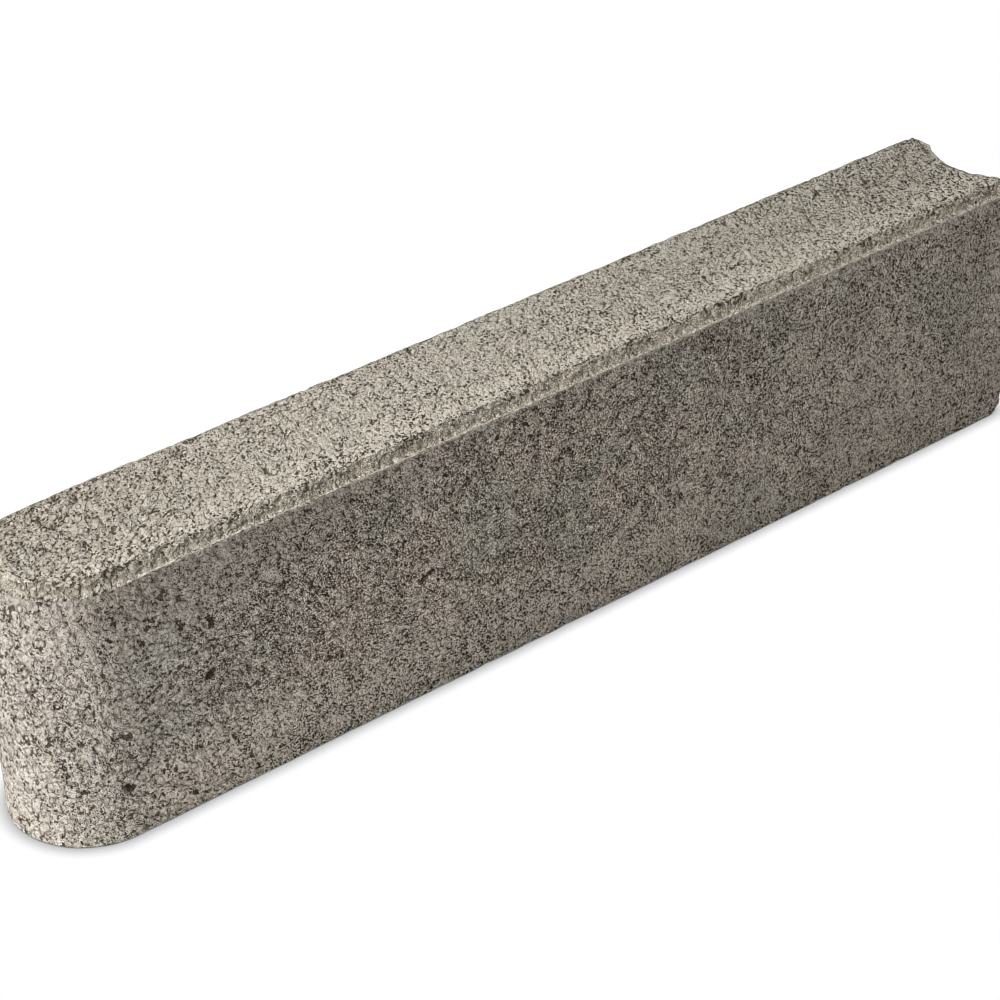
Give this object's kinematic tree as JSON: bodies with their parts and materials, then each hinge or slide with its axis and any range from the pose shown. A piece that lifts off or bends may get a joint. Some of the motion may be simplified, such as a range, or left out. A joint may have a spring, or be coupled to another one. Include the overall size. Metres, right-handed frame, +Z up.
{
  "type": "concrete kerb stone",
  "caption": "Straight dry-cast concrete kerb stone with a bevelled top, a round nose at one end and a matching hollow at the other, so that a row can follow a curve.",
  "frame": {"origin": "middle of the stone's plan, on the bed face", "axes": "+X along the length towards the hollow end, +Y across the width towards the back side, +Z up from the bed to the bevelled top"},
  "size_m": [0.6, 0.08, 0.14],
  "materials": {
    "concrete": "open, sandy dry-cast concrete, warm grey"
  },
  "bodies": {
    "root": {"kerb_stone": "concrete"}
  },
  "joints": []
}
